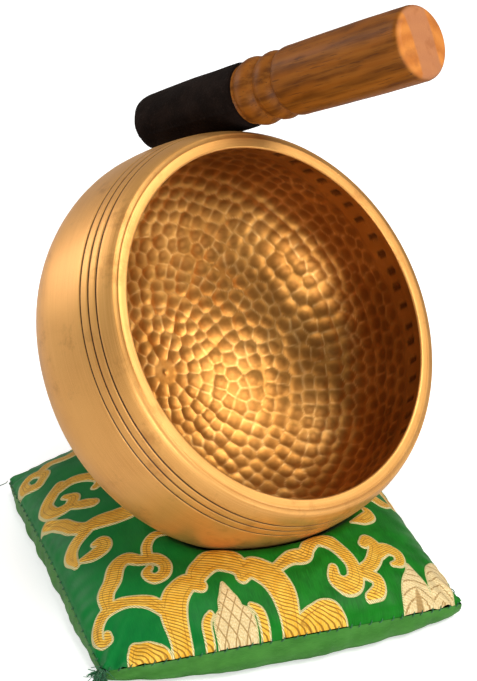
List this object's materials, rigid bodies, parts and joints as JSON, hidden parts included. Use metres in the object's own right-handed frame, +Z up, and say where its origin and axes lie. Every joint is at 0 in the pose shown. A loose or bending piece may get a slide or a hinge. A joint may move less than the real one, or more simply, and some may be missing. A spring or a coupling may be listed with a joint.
{
  "type": "singing bowl",
  "caption": "Hammered brass singing bowl tipped on a square embroidered cushion, with a suede-wrapped wooden mallet against its wall.",
  "frame": {"origin": "middle of the floor area that the whole object covers", "axes": "+Z up, +X to the right and -Y to the front, with the bowl's mouth facing right, front and up"},
  "size_m": [0.1357, 0.1434, 0.1674],
  "materials": {
    "brass": "hammered inside, turned satin outside",
    "wood": "turned and oiled",
    "suede": "napped",
    "brocade": "satin ground with raised gold thread",
    "satin": "plain satin",
    "wadding": "loose fibre",
    "thread": "twisted sewing thread"
  },
  "bodies": {
    "cushion": {"cushion_top": "brocade", "cushion_base": "satin", "cushion_filling": "wadding", "seam_thread": "thread", "corner_tuft": "thread"},
    "bowl": {"bowl": "brass"},
    "mallet": {"mallet_handle": "wood", "suede_sleeve": "suede", "suede_end_disc": "suede"}
  },
  "joints": [
    {"name": "bowl_lift", "type": "slide", "parent": "cushion", "child": "bowl", "axis": [0, 0, 1], "range_m": [0, 0.12]},
    {"name": "mallet_circle", "type": "hinge", "parent": "bowl", "child": "mallet", "pos_m": [0.0142, -0.0023, 0.0809], "axis": [0.5815, -0.5366, 0.6115], "range_deg": [-100, 125]}
  ]
}
